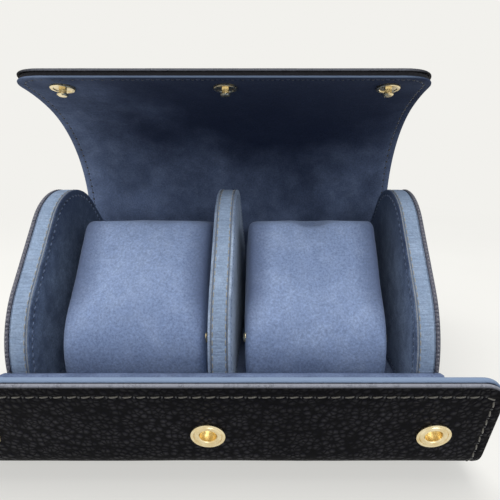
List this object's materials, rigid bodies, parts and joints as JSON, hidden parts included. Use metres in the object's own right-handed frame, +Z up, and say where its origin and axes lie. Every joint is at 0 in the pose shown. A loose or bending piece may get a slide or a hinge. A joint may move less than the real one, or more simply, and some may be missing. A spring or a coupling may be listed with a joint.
{
  "type": "watch travel case",
  "caption": "Watch travel case with a curved suede-lined lid, a front flap that snaps shut, end caps, a divider and lift-out cushions.",
  "frame": {"origin": "centre of the flat leather face that the case stands on", "axes": "+X across the case towards the right end cap, +Y from the front flap to the lid's hinge, +Z up"},
  "size_m": [0.19, 0.1755, 0.151],
  "materials": {
    "pebbled_leather": "pebbled, semi-matt",
    "board": "matt grey board",
    "lining_suede": "short dark nap",
    "band_suede": "short pale nap",
    "cushion_suede": "short nap, mottled",
    "foam": "open foam",
    "brass": "polished"
  },
  "bodies": {
    "case": {"wrap_leather": "pebbled_leather", "wrap_board": "board", "wrap_lining": "lining_suede", "cap_core_left": "board", "cap_band_left": "band_suede", "cap_face_left": "lining_suede", "cap_leather_left": "pebbled_leather", "cap_core_right": "board", "cap_band_right": "band_suede", "cap_face_right": "lining_suede", "cap_leather_right": "pebbled_leather", "divider_core": "board", "divider_band": "band_suede", "divider_face_left": "lining_suede", "divider_face_right": "lining_suede"},
    "lid_back": {"lid_back_leather": "pebbled_leather", "lid_back_board": "board", "lid_back_lining": "lining_suede"},
    "lid_mid": {"lid_mid_leather": "pebbled_leather", "lid_mid_board": "board", "lid_mid_lining": "lining_suede"},
    "lid_front": {"lid_front_leather": "pebbled_leather", "lid_front_board": "board", "lid_front_lining": "lining_suede", "snap_studs": "brass", "snap_stud_washers": "brass"},
    "flap_lower": {"flap_lower_leather": "pebbled_leather", "flap_lower_board": "board", "flap_lower_lining": "lining_suede"},
    "flap_middle": {"flap_middle_leather": "pebbled_leather", "flap_middle_board": "board", "flap_middle_lining": "lining_suede"},
    "flap_upper": {"flap_upper_leather": "pebbled_leather", "flap_upper_board": "board", "flap_upper_lining": "lining_suede", "snap_sockets": "brass", "snap_springs": "brass", "snap_socket_washers": "brass"},
    "cushion_left": {"cushion_foam_left": "foam", "cushion_sleeve_left": "cushion_suede", "cushion_ends_left": "cushion_suede", "cushion_rivets_left": "brass"},
    "cushion_right": {"cushion_foam_right": "foam", "cushion_sleeve_right": "cushion_suede", "cushion_ends_right": "cushion_suede", "cushion_rivets_right": "brass"}
  },
  "joints": [
    {"name": "lid_hinge", "type": "hinge", "parent": "case", "child": "lid_back", "pos_m": [0, 0.04668, 0.06463], "axis": [1, 0, 0], "range_deg": [-60, 27.85]},
    {"name": "lid_curl", "type": "hinge", "parent": "lid_back", "child": "lid_mid", "pos_m": [0, 0.03612, 0.10568], "axis": [1, 0, 0], "range_deg": [0, 25.3]},
    {"name": "lid_tip", "type": "hinge", "parent": "lid_mid", "child": "lid_front", "pos_m": [0, 0.00562, 0.13622], "axis": [1, 0, 0], "range_deg": [0, 10.7]},
    {"name": "flap_hinge", "type": "hinge", "parent": "case", "child": "flap_lower", "pos_m": [0, -0.06485, 0.0202], "axis": [-1, 0, 0], "range_deg": [0, 143]},
    {"name": "flap_fold_low", "type": "hinge", "parent": "flap_lower", "child": "flap_middle", "pos_m": [0, -0.0815, 0.00412], "axis": [1, 0, 0], "range_deg": [0, 43]},
    {"name": "flap_fold_high", "type": "hinge", "parent": "flap_middle", "child": "flap_upper", "pos_m": [0, -0.10001, 0.01142], "axis": [1, 0, 0], "range_deg": [0, 42]},
    {"name": "cushion_left_seat", "type": "slide", "parent": "case", "child": "cushion_left", "axis": [0, 0.6691, -0.7431], "range_m": [-0.055, 0]},
    {"name": "cushion_right_seat", "type": "slide", "parent": "case", "child": "cushion_right", "axis": [0, 0.6691, -0.7431], "range_m": [-0.055, 0]}
  ],
  "couplings": [
    {"joint": "lid_tip", "follows": "lid_curl", "ratio": 0.4229},
    {"joint": "flap_fold_low", "follows": "flap_hinge", "ratio": 0.3006},
    {"joint": "flap_fold_high", "follows": "flap_hinge", "ratio": 0.2936}
  ]
}
